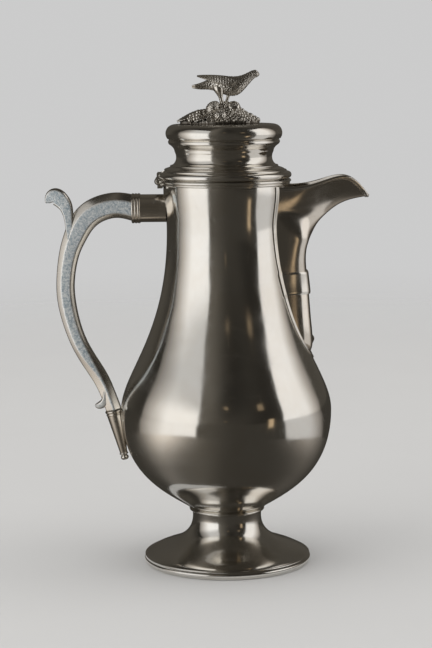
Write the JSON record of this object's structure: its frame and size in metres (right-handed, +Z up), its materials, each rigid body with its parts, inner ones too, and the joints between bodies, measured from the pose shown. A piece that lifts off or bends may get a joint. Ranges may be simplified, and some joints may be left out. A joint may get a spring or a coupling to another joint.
{
  "type": "covered ewer",
  "caption": "Silver covered ewer: pear-shaped body on a trumpet foot, beak spout, chamfered scroll handle held in sockets, and a hinged moulded lid with a bird finial.",
  "frame": {"origin": "middle of the object's length and width, on the table under the foot", "axes": "+Z up, +X from the handle towards the spout, +Y across the pot"},
  "size_m": [0.1954, 0.1284, 0.3001],
  "materials": {
    "polished_silver": "polished, fine handling scratches",
    "warm_silver": "polished, with a faint warm tarnish",
    "brushed_silver": "worn satin",
    "cast_silver": "cast and chased, darker in the hollows",
    "inside_silver": "unpolished inner face"
  },
  "bodies": {
    "body": {"body_shell": "polished_silver", "mouth_rim": "polished_silver", "foot_joint_ring": "polished_silver", "hinge_body_leaf": "polished_silver", "hinge_pin": "polished_silver", "spout_flange": "polished_silver", "spout_rim_band": "polished_silver", "spout_strap": "polished_silver", "upper_socket_collar": "polished_silver", "upper_handle_pin": "polished_silver", "lower_socket_button": "polished_silver", "lower_handle_pin": "polished_silver", "foot_shell": "warm_silver", "foot_rim": "warm_silver", "spout_shell": "warm_silver", "spout_tip": "warm_silver", "upper_socket": "warm_silver", "lower_socket": "warm_silver", "lower_socket_collar": "warm_silver", "handle": "brushed_silver"},
    "lid": {"lid_dome": "polished_silver", "lid_flange": "polished_silver", "lid_bezel": "inside_silver", "hinge_lid_leaf": "polished_silver", "finial_mound": "cast_silver", "finial_bird": "cast_silver", "bird_wing_left": "cast_silver", "bird_wing_right": "cast_silver", "finial_stud": "inside_silver", "finial_washer": "inside_silver", "finial_nut": "inside_silver"}
  },
  "joints": [
    {"name": "lid_hinge", "type": "hinge", "parent": "body", "child": "lid", "pos_m": [-0.02925, 0, 0.2342], "axis": [0, -1, 0], "range_deg": [0, 100]}
  ]
}
